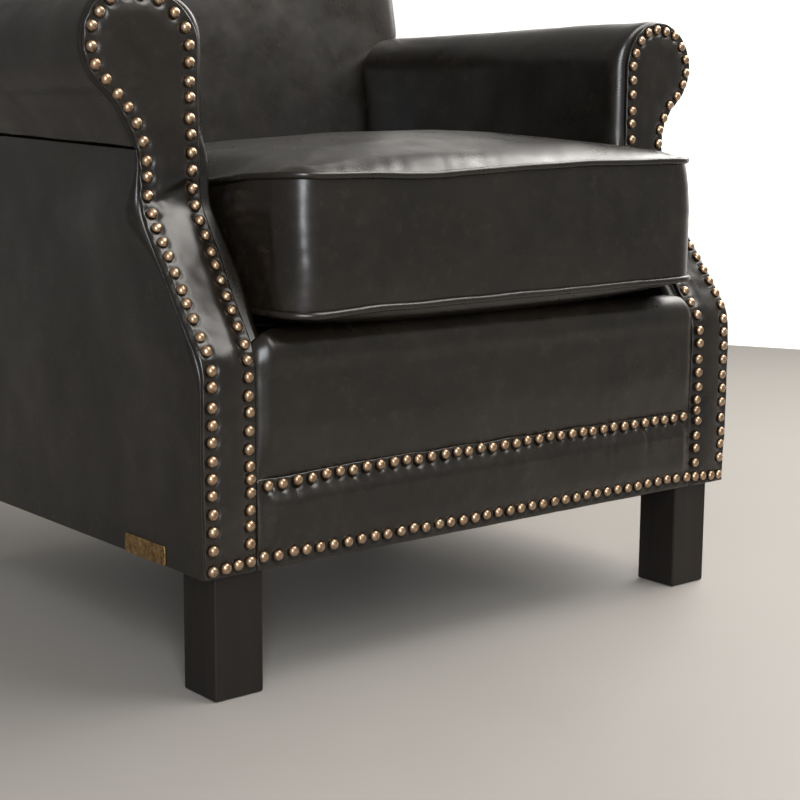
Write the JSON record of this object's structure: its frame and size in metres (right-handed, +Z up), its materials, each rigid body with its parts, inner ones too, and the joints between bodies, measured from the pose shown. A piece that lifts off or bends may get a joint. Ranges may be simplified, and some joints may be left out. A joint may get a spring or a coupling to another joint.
{
  "type": "club chair",
  "caption": "Leather club chair with scroll arms, stepped nailed arm fronts, a tight raked back and a loose boxed seat cushion on square legs.",
  "frame": {"origin": "on the floor, at the middle of the chair's box seen from above", "axes": "+Z up, +Y to the back of the chair, +X to the right of someone who faces its front"},
  "size_m": [0.8118, 0.779, 0.86],
  "materials": {
    "black_leather": "smooth semi-gloss, faintly mottled",
    "black_stained_wood": "satin black-brown stain",
    "frame_hardwood": "unfinished hardwood",
    "black_cloth": "plain woven",
    "spring_steel": "drawn wire",
    "aged_brass": "aged, bare"
  },
  "bodies": {
    "chair": {"arm_facing_left": "black_leather", "arm_facing_right": "black_leather", "arm_pad_left": "black_leather", "arm_pad_right": "black_leather", "arm_post_left": "frame_hardwood", "arm_post_right": "frame_hardwood", "arm_rail_left": "frame_hardwood", "arm_rail_right": "frame_hardwood", "back_post_left": "frame_hardwood", "back_post_right": "frame_hardwood", "back_rail": "frame_hardwood", "back_top_rail": "frame_hardwood", "back_webbing_1": "black_cloth", "back_webbing_2": "black_cloth", "back_webbing_3": "black_cloth", "back_webbing_4": "black_cloth", "brass_plate": "aged_brass", "corner_block_back_left": "frame_hardwood", "corner_block_back_right": "frame_hardwood", "corner_block_front_left": "frame_hardwood", "corner_block_front_right": "frame_hardwood", "dust_cover": "black_cloth", "front_band": "black_leather", "front_border": "black_leather", "front_rail": "frame_hardwood", "inside_back": "black_leather", "leg_back_left": "black_stained_wood", "leg_back_right": "black_stained_wood", "leg_bolt_back_left": "spring_steel", "leg_bolt_back_right": "spring_steel", "leg_bolt_front_left": "spring_steel", "leg_bolt_front_right": "spring_steel", "leg_front_left": "black_stained_wood", "leg_front_right": "black_stained_wood", "outside_arm_left": "black_leather", "outside_arm_right": "black_leather", "outside_back": "black_leather", "scroll_board_left": "frame_hardwood", "scroll_board_right": "frame_hardwood", "seat_deck": "black_cloth", "seat_spring_1": "spring_steel", "seat_spring_2": "spring_steel", "seat_spring_3": "spring_steel", "seat_spring_4": "spring_steel", "seat_spring_5": "spring_steel", "side_rail_left": "frame_hardwood", "side_rail_right": "frame_hardwood"},
    "cushion": {"cushion_welt_lower": "black_leather", "cushion_welt_upper": "black_leather", "seat_cushion": "black_leather"}
  },
  "joints": [
    {"name": "cushion_lift", "type": "slide", "parent": "chair", "child": "cushion", "axis": [0, 0, 1], "range_m": [0, 0.36]}
  ]
}
